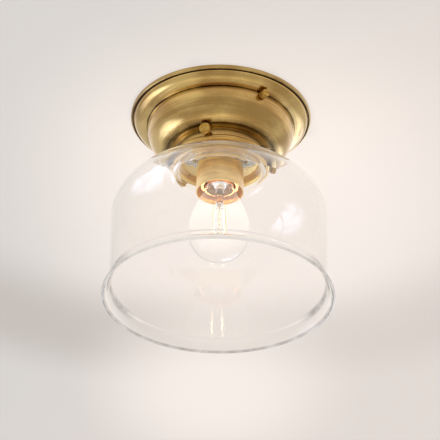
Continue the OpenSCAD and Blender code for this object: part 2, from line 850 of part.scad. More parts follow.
module ground_lead() {
    start = lug_r + lug_bite;
    mouth = lug_r + barrel_start + lug_barrel_len + cut;
    lift = [0, 0, 0.6];
    out = [cos(ground_lug_angle), sin(ground_lug_angle), 0];
    plate_end = [ground_screw_at.x, ground_screw_at.y, -plate_t - barrel_r];
    floor_end = [holder_screw_x, 0, floor_z + barrel_r];
    route = concat(
        [floor_end + [start, 0, 0], floor_end + [mouth, 0, 0],
        floor_end + [mouth + lead_in, 0, 0] + lift],
        on_floor(ground_mid),
        [plate_end + (mouth + lead_in) * out - lift, plate_end + mouth * out,
        plate_end + start * out]);
    color([0.15, 0.5, 0.2]) lead(curve(route), barrel_in_r - seat_gap);
}

// Lamp

module bulb_glass() {
    neck_r = bulb_neck_d / 2;
    path = concat(
        [[neck_in_cap_r, stem_top_z + cut], [neck_in_cap_r, cap_end_z + neck_step_h / 2],
        [neck_r, cap_end_z - neck_step_h]],
        [for (i = [0 : STEPS - 1])
            let (t = i / STEPS)
            [neck_r + (bulb_r - neck_r) * smooth(t), swell_z + (globe_z - swell_z) * t]],
        arc([0, globe_z], bulb_r, 0, -90, STEPS));
    color(clear) spun_sheet(path, -bulb_t);
}

module bulb_cap() {
    path = concat([[insulator_r, cap_top_z], [cap_r - insulator_h, cap_top_z - cap_slope_h]],
        thread_path(cap_r, cap_top_z - 2 * cap_slope_h, cap_turns), [[cap_r, cap_end_z]]);
    color(steel) spun_sheet(path, -cap_t);
}

module bulb_insulator() {
    color([0.06, 0.06, 0.07])
        spun([[0, tip_z - tip_h], [tip_r + slip_gap, tip_z - tip_h],
            [insulator_in_r, cap_top_z], [insulator_in_r, cap_top_z - cap_slope_h],
            [0, cap_top_z - cap_slope_h]]);
}

module bulb_tip() {
    color([0.75, 0.75, 0.76])
        spun(concat([[0, tip_z - tip_h + thread_gap]],
            arc_over(tip_r, tip_z - tip_h + thread_gap, tip_h - thread_gap)));
}

module bulb_stem() {
    flare_r = neck_in_cap_r - bulb_t - seat_gap;
    bend_r = flare_r - stem_r;
    color(clear) spun(concat([[0, stem_top_z], [flare_r, stem_top_z],
        [flare_r, stem_top_z - bulb_t]],
        arc([flare_r, stem_top_z - bulb_t - bend_r], bend_r, 90, 180),
        [[stem_r, stem_end_z + stem_r]],
        arc([0, stem_end_z + stem_r], stem_r, 0, -90)));
}

function rod_point(i, r, z) =
    let (a = 360 * (i + 0.5) / filaments) [r * cos(a), r * sin(a), z];

module bulb_filaments() {
    color([1, 0.85, 0.45]) for (i = [0 : filaments - 1])
        rod(rod_point(i, rod_top_r, rod_top_z), rod_point(i, rod_end_r, rod_end_z), rod_r);
}

module bulb_supports() {
    color(steel) union() {
        disc(wire_r * 2, hub_z, stem_end_z - hub_z - seat_gap / 2);
        for (i = [0 : filaments - 1]) {
            rod([0, 0, stem_end_z - 2 * wire_r],
                rod_point(i, rod_top_r, rod_top_z + 1.3 * wire_r), wire_r);
            rod([0, 0, hub_z + wire_r],
                rod_point(i, rod_end_r, rod_end_z - 1.3 * wire_r), wire_r);
        }
    }
}

mounting_plate();
canopy();
side_stud(0);  // side_stud_1
side_stud(1);  // side_stud_2
side_knob(0);  // side_knob_1
side_knob(1);  // side_knob_2
shade_holder();
thumb_bushes();
thumb_stud(0);  // thumb_stud_1
thumb_stud(1);  // thumb_stud_2
thumb_stud(2);  // thumb_stud_3
thumb_knob(0);  // thumb_knob_1
thumb_knob(1);  // thumb_knob_2
thumb_knob(2);  // thumb_knob_3
glass_shade();
socket_strap();
holder_screws();
holder_nuts();
plain_washer();
socket_screws();
socket_cup();
socket_body();
screw_shell();
centre_contact();
contact_rivets();
lead_ferrules();
lead_black();
lead_white();
wire_connectors();
ground_screw();
ground_lugs();
ground_lead();
bulb_glass();
bulb_cap();
bulb_insulator();
bulb_tip();
bulb_stem();
bulb_supports();
bulb_filaments();
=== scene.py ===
"""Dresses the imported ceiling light: turned brass, clear glass, a lit lamp, and a plain stage."""

import json
import math
from collections import namedtuple

import bmesh
import bpy
from bpy.props import FloatProperty, FloatVectorProperty, PointerProperty
from mathutils import Matrix, Vector


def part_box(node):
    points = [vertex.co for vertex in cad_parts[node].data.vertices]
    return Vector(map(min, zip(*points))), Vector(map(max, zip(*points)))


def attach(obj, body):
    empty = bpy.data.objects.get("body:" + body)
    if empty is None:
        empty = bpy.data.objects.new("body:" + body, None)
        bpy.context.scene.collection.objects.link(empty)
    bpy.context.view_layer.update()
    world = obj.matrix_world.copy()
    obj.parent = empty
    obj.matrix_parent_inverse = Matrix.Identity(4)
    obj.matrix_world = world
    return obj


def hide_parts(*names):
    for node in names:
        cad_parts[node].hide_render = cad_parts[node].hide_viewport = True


bl_info = {
    "name": "Ceiling Light",
    "version": (1, 0, 0),
    "blender": (4, 5, 0),
    "location": "View3D > Sidebar > Ceiling Light",
    "description": "Builds the looks of a brass ceiling light around its packed model",
    "category": "Object",
}

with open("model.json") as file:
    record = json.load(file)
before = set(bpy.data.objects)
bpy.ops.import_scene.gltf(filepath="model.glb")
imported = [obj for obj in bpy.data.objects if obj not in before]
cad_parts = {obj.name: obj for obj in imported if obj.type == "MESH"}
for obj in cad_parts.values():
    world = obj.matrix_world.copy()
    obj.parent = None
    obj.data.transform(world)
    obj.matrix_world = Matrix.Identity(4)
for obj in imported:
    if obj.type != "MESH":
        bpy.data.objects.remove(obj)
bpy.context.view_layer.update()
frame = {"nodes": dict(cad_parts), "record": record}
BODY_OF = {node: body for body, nodes in frame["record"]["behaviour"]["bodies"].items()
           for node in nodes}

# Points that lie closer than this are one point
NEAR = 1e-6
# How square a curve is where it is a plain ellipse
ROUND = 2.0

# A crease of a turned piece, darkened with grime and painted shade: how far the darkest part and all
# of the darkening reach from it
Crease = namedtuple("Crease", "radius height dark_reach reach")
# A soft window in the surroundings, its reach in degrees
Window = namedtuple("Window", "toward reach strength light")


def low(node):
    """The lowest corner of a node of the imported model."""
    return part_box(node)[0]


def high(node):
    """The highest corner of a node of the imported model."""
    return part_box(node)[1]


def length(name, description, default):
    """A size in metres."""
    return FloatProperty(name=name, description=description, default=default, unit="LENGTH",
                         precision=5)


def colour(name, description, default):
    """A colour in scene linear red, green and blue."""
    return FloatVectorProperty(name=name, description=description, default=default,
                               subtype="COLOR", min=0.0, max=1.0)


class CeilingLightSizes(bpy.types.PropertyGroup):
    """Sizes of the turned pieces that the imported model's boxes don't give"""
    sheet: length("Sheet", "Thickness of the spun brass sheet", 0.0009)
    rim_width: length("Moulding width", "Width of the canopy's outer moulding", 0.0127)
    rim_height: length("Moulding height", "Height of the canopy's outer moulding", 0.0085)
    rim_edge: length("Moulding edge", "Straight edge above the moulding", 0.0013)
    crease: length("Crease", "Depth of the crease between moulding and dome", 0.0003)
    plate_gap: length("Plate gap", "Gap between the canopy and the plate's edge", 0.0004)
    plate_edge: length("Plate edge", "Height of the plate's turned edge", 0.0033)
    canopy_hole: length("Canopy opening", "Diameter of the opening for the socket", 0.040)
    wall_radius: length("Holder wall", "Outside radius of the holder's wall", 0.0435)
    wall_height: length("Wall height", "Height of the holder's straight wall", 0.00827)
    wall_corner: length("Wall corner", "Radius inside the top of the holder's wall", 0.0004)
    pad_radius: length("Pad radius", "Radius of the pad in the holder's middle", 0.0355)
    pad_drop: length("Pad depth", "Depth of the pad below the holder's top", 0.0079)
    pad_hole: length("Pad opening", "Diameter of the opening in the pad", 0.045)
    skirt_out: length("Skirt", "How far the skirt stands out from the wall", 0.0004)
    skirt_height: length("Skirt height", "Height of the skirt above its bead", 0.001)
    bead_radius: length("Bead", "Radius of the bead round the holder's mouth", 0.002)
    glass: length("Glass", "Thickness of the shade's glass", 0.0026)
    neck_rim: length("Neck rim", "Radius of the rim round the glass neck", 0.041)
    neck_taper: length("Rim taper", "Height of the slope under the neck's rim", 0.00117)
    neck: length("Neck", "Radius of the glass neck below its rim", 0.0403)
    neck_height: length("Neck height", "Height of the glass neck", 0.0191)
    neck_fillet: length("Neck hollow", "Radius between the neck and the shoulder", 0.005)
    body: length("Body", "Radius of the glass below its shoulder", 0.0962)
    shoulder: length("Shoulder", "Height of the glass shoulder", 0.044)
    waist: length("Waist", "Radius of the glass where it starts to flare", 0.0955)
    flare: length("Flare", "Height of the flare above the lip", 0.012)
    flare_bend: length("Flare bend", "Radius of the bend where the flare starts", 0.004)
    cup_glow: length("Cup's glow", "Height that the lamp lights outside the cup", 0.022)
    lamp_neck: length("Lamp neck", "Radius of the bulb's neck", 0.0133)
    lamp_glass: length("Bulb glass", "Thickness of the bulb's glass", 0.0008)
    lamp_fullness: FloatProperty(name="Bulb shape", default=1.15, min=0.8, max=2.0,
                                 description="How slowly the bulb widens below its cap")
    dome_fullness: FloatProperty(name="Dome", default=2.2, min=1.5, max=4.0,
                                 description="How square the canopy's dome is, 2 is round")
    shoulder_fullness: FloatProperty(name="Shoulder shape", default=1.75, min=1.3, max=3.0,
                                     description="How square the glass shoulder is, 2 is round")


class CeilingLightLooks(bpy.types.PropertyGroup):
    """Colours of the finishes, and the level of the lights"""
    brass: colour("Brass", "Polished parts of the aged brass", (0.74, 0.51, 0.155))
    brass_shade: colour("Brass in shade", "Darker patches of the aged brass", (0.42, 0.235, 0.04))
    # Grime and painted shade in the creases of the brass
    brass_grime_and_shade: colour("Brass in creases", "Grime in the creases", (0.05, 0.028, 0.008))
    cup_inside_light: colour("Cup's inside", "Light of the lamp inside the cup", (0.20, 0.11, 0.06))
    cup_lit: colour("Cup's edge", "Light of the lamp on the cup's lower edge", (0.22, 0.19, 0.12))
    cup_glow: colour("Cup", "Light of the lamp on the rest of the cup", (0.09, 0.07, 0.02))
    ceiling: colour("Ceiling", "Paint of the ceiling", (0.82, 0.75, 0.70))
    ceiling_shade: colour("Ceiling in shade", "Paint of the ceiling away from the window",
                          (0.74, 0.71, 0.675))
    ceiling_lit: colour("Lit ceiling", "Paint of the ceiling by the lamp", (1.0, 0.915, 0.855))
    ceiling_ring: colour("Ceiling's ring", "Shade in a wide ring round the light",
                         (0.55, 0.50, 0.45))
    behind_camera: colour("Room", "Surroundings behind the camera", (0.92, 0.88, 0.82))
    ahead: colour("Far room", "Surroundings ahead of the camera", (1.0, 0.985, 0.965))
    backdrop: colour("Backdrop", "Surroundings where the camera sees them", (1.0, 0.98, 0.96))
    floor: colour("Floor", "Plain pale floor", (0.60, 0.57, 0.53))
    floor_lit: colour("Lit floor", "Floor below the lamp", (1.0, 0.97, 0.91))
    edge: colour("Glass edge", "Light that the glass leads along inside", (0.86, 0.80, 0.74))
    lip: colour("Glass lip", "Light that reaches the lip through the glass",
                (0.22, 0.18, 0.15))
    # Painted shade: a dark line round the lip
    lip_shade_line: colour("Lip line", "Dark line round the lip", (0.012, 0.009, 0.007))
    zinc: colour("Zinc", "Zinc plate of the strap, nuts and lugs", (0.62, 0.61, 0.58))
    nickel: colour("Nickel", "Nickel plate of the holder's screws", (0.74, 0.70, 0.63))
    porcelain: colour("Porcelain", "Glaze of the socket's body", (0.42, 0.22, 0.12))
    black_lead: colour("Black lead", "Insulation of the black lead", (0.02, 0.02, 0.022))
    white_lead: colour("White lead", "Insulation of the white lead", (0.82, 0.81, 0.77))
    green_lead: colour("Ground lead", "Insulation of the ground lead", (0.05, 0.26, 0.08))
    connector: colour("Connectors", "Plastic of the wire connectors", (0.75, 0.24, 0.04))
    green_paint: colour("Ground screw", "Paint of the ground screw", (0.05, 0.27, 0.09))
    cap: colour("Lamp cap", "Brass of the lamp's screw cap", (0.72, 0.46, 0.28))
    wire: colour("Wire", "Support wires in the bulb", (0.72, 0.69, 0.64))
    solder: colour("Solder", "Contact at the lamp's tip", (0.6, 0.6, 0.62))
    black_glass: colour("Black glass", "Insulator at the lamp's tip", (0.02, 0.02, 0.025))
    bulb_light: colour("Bulb", "Light of the rods on the bulb's glass", (0.055, 0.053, 0.048))
    lamp_light: colour("Lamp's light", "Light that the lamp throws", (1.0, 0.86, 0.66))
    filament: colour("Filament", "Lit filament rods", (1.0, 0.93, 0.72))
    filament_base: colour("Rods", "Filament rods without their light", (0.12, 0.10, 0.07))
    glow: FloatProperty(name="Glow", default=0.9, min=0.0,
                        description="Strength of the lit filament rods")
    lamp: FloatProperty(name="Lamp", default=0.8, min=0.0, unit="POWER",
                        description="Power of the light from the lit lamp")
    sky: FloatProperty(name="Surroundings", default=0.66, min=0.0,
                       description="Level of the soft light from all round")
    window: FloatProperty(name="Window", default=3.4, min=0.0,
                          description="Strength of the wide window at the left")
    far_window: FloatProperty(name="Far window", default=3.6, min=0.0,
                              description="Strength of the window at the right")


def sizes():
    """The sizes of the scene."""
    return bpy.context.scene.ceiling_light_sizes


def looks():
    """The colours and light levels of the scene."""
    return bpy.context.scene.ceiling_light_looks


# Outlines, as points of radius and height

def arc(centre, radius, start, end, steps=12):
    """Points on a circle, from one angle to another in degrees."""
    points = []
    for i in range(steps + 1):
        angle = math.radians(start + (end - start) * i / steps)
        points.append(Vector(centre) + radius * Vector((math.cos(angle), math.sin(angle))))
    return points


def bulge(centre, width, height, fullness, start=0.0, end=90.0, steps=36):
    """A quarter of a squared ellipse, from its top at 0 to its side at 90."""
    points = []
    for i in range(steps + 1):
        angle = math.radians(start + (end - start) * i / steps)
        across = max(math.sin(angle), 0.0) ** (2 / fullness)
        up = max(math.cos(angle), 0.0) ** (2 / fullness)
        points.append(Vector((centre[0] + width * across, centre[1] + height * up)))
    return points


def heading(path, i):
    """The direction in which a path runs past one of its points."""
    return (path[min(i + 1, len(path) - 1)] - path[max(i - 1, 0)]).normalized()


def beside(path, distance):
    """The path moved to its left by a distance, in reverse order."""
    moved = []
    for i in reversed(range(len(path))):
        ahead = heading(path, i)
        moved.append(path[i] + distance * Vector((-ahead.y, ahead.x)))
    return moved


def sheet_outline(path, thickness, round_ends=False, steps=8):
    """A closed outline of a sheet whose second face lies to the path's left, or to its right
    where the thickness is negative."""
    back = beside(path, thickness)
    if not round_ends:
        return path + back
    outline = list(path)
    for here, there, ahead in ((path[-1], back[0], heading(path, len(path) - 1)),
                               (back[-1], path[0], -heading(path, 0))):
        middle, reach = (here + there) / 2, (here - there) / 2
        for i in range(1, steps):
            turn = math.pi * i / steps
            outline.append(middle + reach * math.cos(turn)
                           + ahead * reach.length * math.sin(turn))
        if there is back[0]:
            outline += back
    return outline


# Meshes

def finish_mesh(name, mesh, crease):
    """Makes a shown object of a bmesh, smooth apart from edges sharper than crease, in degrees."""
    bmesh.ops.remove_doubles(mesh, verts=mesh.verts, dist=NEAR)
    bmesh.ops.recalc_face_normals(mesh, faces=mesh.faces)
    data = bpy.data.meshes.new(name)
    mesh.to_mesh(data)
    mesh.free()
    data.polygons.foreach_set("use_smooth", [True] * len(data.polygons))
    data.set_sharp_from_angle(angle=math.radians(crease))
    piece = bpy.data.objects.new(name, data)
    bpy.context.scene.collection.objects.link(piece)
    return piece


def turned(name, outline, sides=192, crease=35.0):
    """A piece turned about the vertical axis."""
    mesh = bmesh.new()
    rings = []
    for point in outline:
        if point.x < NEAR:
            rings.append([mesh.verts.new((0, 0, point.y))] * sides)
            continue
        ring = []
        for k in range(sides):
            angle = 2 * math.pi * k / sides
            ring.append(mesh.verts.new((point.x * math.cos(angle), point.x * math.sin(angle),
                                        point.y)))
        rings.append(ring)
    for i, ring in enumerate(rings):
        after = rings[(i + 1) % len(rings)]
        for k in range(sides):
            corners = []
            for vert in (ring[k], ring[(k + 1) % sides], after[(k + 1) % sides], after[k]):
                if vert not in corners:
                    corners.append(vert)
            if len(corners) > 2:
                mesh.faces.new(corners)
    return finish_mesh(name, mesh, crease)


def dress(piece, node, finish):
    """Puts a new piece in a node's place, on its body and in its finish."""
    piece.data.materials.append(finish)
    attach(piece, BODY_OF[node])
    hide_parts(node)


def paint(finish, *nodes):
    """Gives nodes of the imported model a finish."""
    for node in nodes:
        for holder in frame["nodes"][node].material_slots:
            holder.material = finish


# Node trees

class Value:
    """A socket that stands in sums: each operator adds a Math node."""

    def __init__(self, finish, socket):
        self.finish = finish
        self.socket = socket

    def maths(self, operation, *values, clamp=False):
        """A Math node on values and numbers."""
        node = self.finish.node("ShaderNodeMath", {"operation": operation, "use_clamp": clamp},
                                dict(enumerate(values)))
        return Value(self.finish, node.outputs[0])

    def __add__(self, other):
        return self.maths("ADD", self, other)

    __radd__ = __add__

    def __sub__(self, other):
        return self.maths("SUBTRACT", self, other)

    def __rsub__(self, other):
        return self.maths("SUBTRACT", other, self)

    def __mul__(self, other):
        return self.maths("MULTIPLY", self, other)

    __rmul__ = __mul__

    def __truediv__(self, other):
        return self.maths("DIVIDE", self, other)

    def __pow__(self, other):
        return self.maths("POWER", self, other)

    def __abs__(self):
        return self.maths("ABSOLUTE", self)

    def clamped(self):
        return self.maths("ADD", self, 0.0, clamp=True)


class Nodes:
    """A node tree, of a material or of the world."""

    def __init__(self, tree):
        self.tree = tree

    def node(self, kind, settings=None, inputs=None):
        """Adds a node: its settings first, then the values or links of its sockets."""
        node = self.tree.nodes.new(kind)
        for name, value in (settings or {}).items():
            setattr(node, name, value)
        for name, value in (inputs or {}).items():
            self.feed(node.inputs[name], value)
        return node

    def feed(self, socket, value):
        """Links a socket to a value's socket, or sets it."""
        if isinstance(value, Value):
            self.tree.links.new(value.socket, socket)
        elif isinstance(value, bpy.types.NodeSocket):
            self.tree.links.new(value, socket)
        elif socket.type == "RGBA" and len(value) == 3:
            socket.default_value = (*value, 1.0)
        else:
            socket.default_value = value

    def value(self, node, output=0):
        """A node's output, by its place or name, as a value for sums."""
        return Value(self, node.outputs[output])

    def seen(self):
        """1 where the camera, a reflection or a refraction looks, 0 for light that bounces."""
        path = self.node("ShaderNodeLightPath")
        rays = [self.value(path, name)
                for name in ("Is Camera Ray", "Is Glossy Ray", "Is Transmission Ray")]
        return (rays[0] + rays[1] + rays[2]).clamped()

    def noise(self, vector, scale, detail=2.0, roughness=0.5):
        """Cloudy noise about a middle of 0.5."""
        node = self.node("ShaderNodeTexNoise", {"noise_dimensions": "3D"},
                         {"Vector": vector, "Scale": scale, "Detail": detail,
                          "Roughness": roughness})
        return self.value(node)

    def mix(self, share, first, second):
        """A colour between two colours."""
        node = self.node("ShaderNodeMix", {"data_type": "RGBA"},
                         {"Factor": share, 6: first, 7: second})
        return node.outputs[2]

    def ramp(self, value, zero_at, one_at):
        """0 up to one value, 1 beyond another and smooth between them, either way round."""
        node = self.node("ShaderNodeMapRange", {"interpolation_type": "SMOOTHSTEP"},
                         {"Value": value, "From Min": zero_at, "From Max": one_at})
        return self.value(node)

    def add_colour(self, share, tint, base):
        """A colour with a share of another colour on top."""
        return self.node("ShaderNodeVectorMath", {"operation": "MULTIPLY_ADD"},
                         {0: share, 1: tint, 2: base}).outputs[0]


class Finish(Nodes):
    """A material whose nodes end in a Principled BSDF."""

    def __init__(self, name, **constants):
        self.material = bpy.data.materials.new(name)
        self.material.use_nodes = True
        super().__init__(self.material.node_tree)
        self.shader = self.tree.nodes["Principled BSDF"]
        self.set(**constants)

    def set(self, **inputs):
        """Feeds sockets of the shader at the end, or sets them where a value is constant."""
        for name, value in inputs.items():
            socket = name.replace("_", " ").title().replace("Ior", "IOR")
            self.feed(self.shader.inputs[socket], value)

    def light(self, tint, strength=1.0):
        """A shader that shines with a colour."""
        return self.node("ShaderNodeEmission", None,
                         {"Color": tint, "Strength": strength}).outputs[0]

    def clear(self, tint=(1.0, 1.0, 1.0)):
        """A shader that lets everything through, in a colour."""
        return self.node("ShaderNodeBsdfTransparent", None, {"Color": tint}).outputs[0]

    def over(self, share, below, above):
        """A share of one shader over another."""
        return self.node("ShaderNodeMixShader", None, {0: share, 1: below, 2: above}).outputs[0]

    def end(self, share, shader):
        """Mixes a share of another shader over what the material shows so far."""
        surface = self.tree.nodes["Material Output"].inputs["Surface"]
        self.tree.links.new(self.over(share, surface.links[0].from_socket, shader), surface)

    def place(self):
        """The point on the surface, in the object's own space."""
        return self.node("ShaderNodeTexCoord").outputs["Object"]

    def bump(self, height, strength, distance):
        """A normal for a surface with a height that changes."""
        node = self.node("ShaderNodeBump", None,
                         {"Height": height, "Strength": strength, "Distance": distance})
        return node.outputs["Normal"]

    def parts(self, place):
        """The three coordinates of a place."""
        node = self.node("ShaderNodeSeparateXYZ", None, {0: place})
        return [self.value(node, i) for i in range(3)]

    def polar(self, place):
        """The distance from the vertical axis, the height, and the direction round the axis."""
        x, y, z = self.parts(place)
        never_zero = 1e-5
        radius = (x * x + y * y) ** 0.5 + never_zero
        return radius, z, x / radius, y / radius

    def rings(self, polar, pitch, wander, detail, roughness):
        """Noise drawn out into rings about the axis, so many to the metre."""
        radius, z, across, along = polar
        lines = self.node("ShaderNodeCombineXYZ", None,
                          {0: across * wander, 1: along * wander, 2: (radius - z) * pitch})
        return self.noise(lines.outputs[0], 1.0, detail, roughness)

    def from_point(self, x, y, middle, stretch=(1.0, 1.0)):
        """The level distance from a point, with each direction stretched."""
        across, along = (x - middle[0]) * stretch[0], (y - middle[1]) * stretch[1]
        return (across * across + along * along) ** 0.5

    def patch(self, x, y, middle, edge, core, stretch=(1.0, 1.0)):
        """1 within core of a point, and 0 from edge on."""
        return self.ramp(self.from_point(x, y, middle, stretch), edge, core)


# Finishes

def times(tint, share):
    """A colour made brighter or darker."""
    return tuple(channel * share for channel in tint)


def aged_brass(name, creases=(), shine=0.17, tone=1.0, lamp_lit=None):
    """Antique brass turned on a lathe: fine rings, cloudy patina, and grime and painted shade in the
    creases.

    lamp_lit is the radius inside which the lamp's light is painted on it as a glow, and the heights
    between which that painted light on the outside fades."""
    look = looks()
    finish = Finish(name, metallic=1.0, coat_ior=1.6, coat_roughness=0.2,
                    emission_strength=1.0 if lamp_lit else 0.0)
    place = finish.place()
    polar = finish.polar(place)
    radius, z = polar[:2]
    fine = finish.rings(polar, pitch=1500, wander=0.7, detail=3.0, roughness=0.65)
    broad = finish.rings(polar, pitch=260, wander=1.3, detail=2.0, roughness=0.55)
    cloud = finish.noise(place, scale=32.0, detail=4.0, roughness=0.6)
    large = finish.noise(place, scale=17.0, detail=1.0)
    all_shade, all_bright = 0.44, 0.64
    patina = finish.ramp(cloud * 0.3 + broad * 0.3 + fine * 0.2 + large * 0.3,
                         all_shade, all_bright)
    tint = finish.mix(patina, times(look.brass_shade, tone), times(look.brass, tone))
    coat = 1.0
    # Grime and painted shade darken the brass, and take off its coat, round each crease
    for crease in creases:
        distance = (abs(radius - crease.radius) + abs(z - crease.height)
                    + (cloud - 0.5) * crease.reach)
        clear_of_grime_and_shade = finish.ramp(distance, crease.dark_reach, crease.reach)
        tint = finish.mix(clear_of_grime_and_shade, look.brass_grime_and_shade, tint)
        coat = clear_of_grime_and_shade * coat
    # Painted light of the lamp: the cup glows inside, and on its outside up to a height
    if lamp_lit:
        inside, low_end, high_end = lamp_lit
        outer = finish.mix(finish.ramp(z, low_end, high_end), look.cup_lit, look.cup_glow)
        fade = 0.0002
        wall = finish.ramp(radius, inside, inside + fade)
        finish.set(emission_color=finish.mix(wall, look.cup_inside_light, outer))
    fine_share, cloud_share = 0.12, 0.10
    finish.set(base_color=tint, coat_weight=coat,
               roughness=(fine * fine_share + cloud * cloud_share
                          + (shine - cloud_share)).clamped(),
               normal=finish.bump(fine, strength=0.12, distance=0.0002))
    return finish.material


def small_brass(name, shine=0.3, shade=1.0):
    """Brass of the small turned pieces: cloudy, with a few fine scratches."""
    look = looks()
    finish = Finish(name, metallic=1.0)
    place = finish.place()
    cloud = finish.noise(place, scale=220.0, detail=4.0, roughness=0.6)
    scratches = finish.noise(place, scale=2600.0, detail=2.0, roughness=0.7)
    all_shade, all_bright = 0.35, 0.7
    patina = finish.ramp(cloud * 0.7 + scratches * 0.3, all_shade, all_bright)
    spread, under = 0.16, 0.06
    finish.set(base_color=finish.mix(patina, times(look.brass_shade, shade),
                                     times(look.brass, shade)),
               roughness=cloud * spread + (shine - under),
               normal=finish.bump(scratches, strength=0.08, distance=0.0001))
    return finish.material


def lip_marks(finish, place, lip, bend):
    """Two masks of the glass between its lip and the bend of its flare.

    One is where the lip lies in painted shade. The other is where lines of painted shade run, round
    the lip's edge and in a crescent at each side of the bend. The nearest part has only a faint line."""
    rise = bend - lip
    shade_end, light_start = lip + 0.25 * rise, lip + 0.6 * rise
    line_top, line_core, faint_line = lip + 0.0022, lip + 0.0014, 0.35
    crescent_reach, crescent_core, crescent_depth = 0.0035, 0.001, 0.9
    crescent_start, crescent_full = 0.76, 0.93
    nearest, clear_of_nearest = -0.98, -0.6
    _, height, across, along = finish.polar(place)
    away = finish.ramp(along, nearest, clear_of_nearest)
    above = finish.ramp(height, shade_end, light_start)
    edge = (finish.ramp(height, line_top, line_core)
            * (away * (1.0 - faint_line) + faint_line))
    shade_crescents = (finish.ramp(abs(height - bend), crescent_reach, crescent_core)
                 * finish.ramp(abs(across), crescent_start, crescent_full) * away)
    return (1 - above) * away, (edge + shade_crescents * crescent_depth).clamped()


def clear_glass(name, ior=1.5, tint=(1.0, 0.985, 0.965), ripple=0.06, glow=None, lip=None):
    """Blown glass: clear, with slow ripples and smudges.

    Light that takes more than a few bounces to leave the glass is stood in for by a colour, as
    if the glass led it along inside. glow is the height where the lamp starts to light the glass, the
    height where it does so in full, and its light. lip is the height of the lip and of the bend
    of its flare."""
    look = looks()
    finish = Finish(name, transmission_weight=1.0, ior=ior, roughness=0.0,
                    emission_strength=1.0 if glow else 0.0)
    path = finish.node("ShaderNodeLightPath")
    place = finish.place()
    led = finish.light(look.edge)
    # Painted shade on the lip, and painted dark lines round its edge and at the bend, in the glass's
    # light and colour
    if lip:
        shade, line = lip_marks(finish, place, *lip)
        led = finish.over(shade, led, finish.light(look.lip))
        led = finish.over(line, led, finish.light(look.lip_shade_line))
        tint = finish.mix(line, tint, look.lip_shade_line)
    few_bounces, many_bounces = 1.2, 2.8
    finish.end(finish.ramp(finish.value(path, "Glossy Depth"), few_bounces, many_bounces), led)
    finish.end(finish.value(path, "Is Shadow Ray"), finish.clear((0.96, 0.96, 0.95)))
    slow = finish.noise(place, scale=26.0, detail=2.0, roughness=0.45)
    smudge = finish.noise(place, scale=90.0, detail=3.0, roughness=0.6)
    finish.set(base_color=finish.mix(smudge, tint, (1.0, 1.0, 1.0)),
               normal=finish.bump(slow, strength=ripple, distance=0.004))
    if glow:
        start, full, light = glow
        fade = full - start
        fade_start, fade_end = full + fade, full + 1.8 * fade
        height = finish.polar(place)[1]
        lit_part = (finish.ramp(height, start, full)
                    * finish.ramp(height, fade_end, fade_start))
        finish.set(emission_color=finish.mix(lit_part, (0.0, 0.0, 0.0), light))
    return finish.material


def plain_metal(name, tint, shine):
    """Plated or bare metal with a fine, even grain."""
    finish = Finish(name, metallic=1.0)
    place = finish.place()
    grain = finish.noise(place, scale=900.0, detail=3.0, roughness=0.6)
    cloud = finish.noise(place, scale=120.0, detail=3.0)
    all_dark, all_bright = 0.3, 0.7
    tones = finish.ramp(cloud * 0.6 + grain * 0.4, all_dark, all_bright)
    darkest, spread = 0.72, 0.12
    finish.set(base_color=finish.mix(tones, times(tint, darkest), tint),
               roughness=grain * spread + shine,
               normal=finish.bump(grain, strength=0.06, distance=0.0001))
    return finish.material


def moulded(name, tint, shine, grain_scale=1400.0, coat=0.0):
    """Plastic, paint or glaze, with a faint grain and slight changes of tone."""
    finish = Finish(name, coat_weight=coat)
    place = finish.place()
    grain = finish.noise(place, scale=grain_scale)
    cloud = finish.noise(place, scale=90.0, detail=3.0)
    darkest, spread = 0.82, 0.1
    finish.set(base_color=finish.mix(cloud, times(tint, darkest), tint),
               roughness=cloud * spread + shine,
               normal=finish.bump(grain, strength=0.05, distance=0.0001))
    return finish.material


def lit(name):
    """A filament rod that glows, in slightly changing tones."""
    look = looks()
    finish = Finish(name, emission_strength=look.glow, roughness=0.6,
                    base_color=look.filament_base)
    grain = finish.noise(finish.place(), scale=1500.0)
    warmer = (1.0, 0.85, 0.6)
    warm = tuple(channel * share for channel, share in zip(look.filament, warmer))
    finish.set(emission_color=finish.mix(grain, warm, look.filament))
    return finish.material


# Pieces

class Piece:
    """What the operators of the pieces share."""
    bl_options = {"REGISTER", "UNDO"}

    def execute(self, context):
        self.build(sizes())
        return {"FINISHED"}


class CEILINGLIGHT_OT_plate(Piece, bpy.types.Operator):
    """Gives the mounting plate against the ceiling its brass"""
    bl_idname = "ceiling_light.plate"
    bl_label = "Mounting plate"

    def build(self, size):
        # Painted shade in the gap under the canopy's edge
        gap = Crease(high("canopy").x + size.plate_gap, -size.plate_edge,
                     dark_reach=0.0009, reach=0.0014)
        paint(aged_brass("plate brass", [gap], shine=0.2, tone=0.8), "mounting_plate")


class CEILINGLIGHT_OT_canopy(Piece, bpy.types.Operator):
    """Builds the stepped canopy"""
    bl_idname = "ceiling_light.canopy"
    bl_label = "Canopy"

    def build(self, size):
        top, base, rim = high("canopy").z, low("canopy").z, high("canopy").x
        inner_rim = rim - size.rim_width
        rim_end = top - size.rim_edge - size.rim_height
        dome_top = rim_end - size.crease
        moulding_end = 8.0
        path = [Vector((rim, top))]
        path += bulge((inner_rim, top - size.rim_edge), size.rim_width, -size.rim_height, ROUND,
                      90.0, moulding_end)
        path += bulge((size.wall_radius, dome_top), inner_rim - size.wall_radius,
                      base - dome_top, size.dome_fullness, 90.0, 0.0)
        path.append(Vector((size.canopy_hole / 2, base)))
        beside_wall = size.wall_radius + 0.005
        # Grime and painted shade in the crease between moulding and dome and at the edge against the
        # plate, and a wide band of painted shade on the dome's base beside the holder
        creases = [Crease(inner_rim, rim_end, dark_reach=0.0002, reach=0.0015),
                   Crease(rim, top, dark_reach=0.001, reach=0.0016),
                   Crease(beside_wall, base, dark_reach=-0.001, reach=0.0078)]
        finish = aged_brass("canopy brass", creases)
        dress(turned("canopy_shell", sheet_outline(path, -size.sheet)), "canopy", finish)


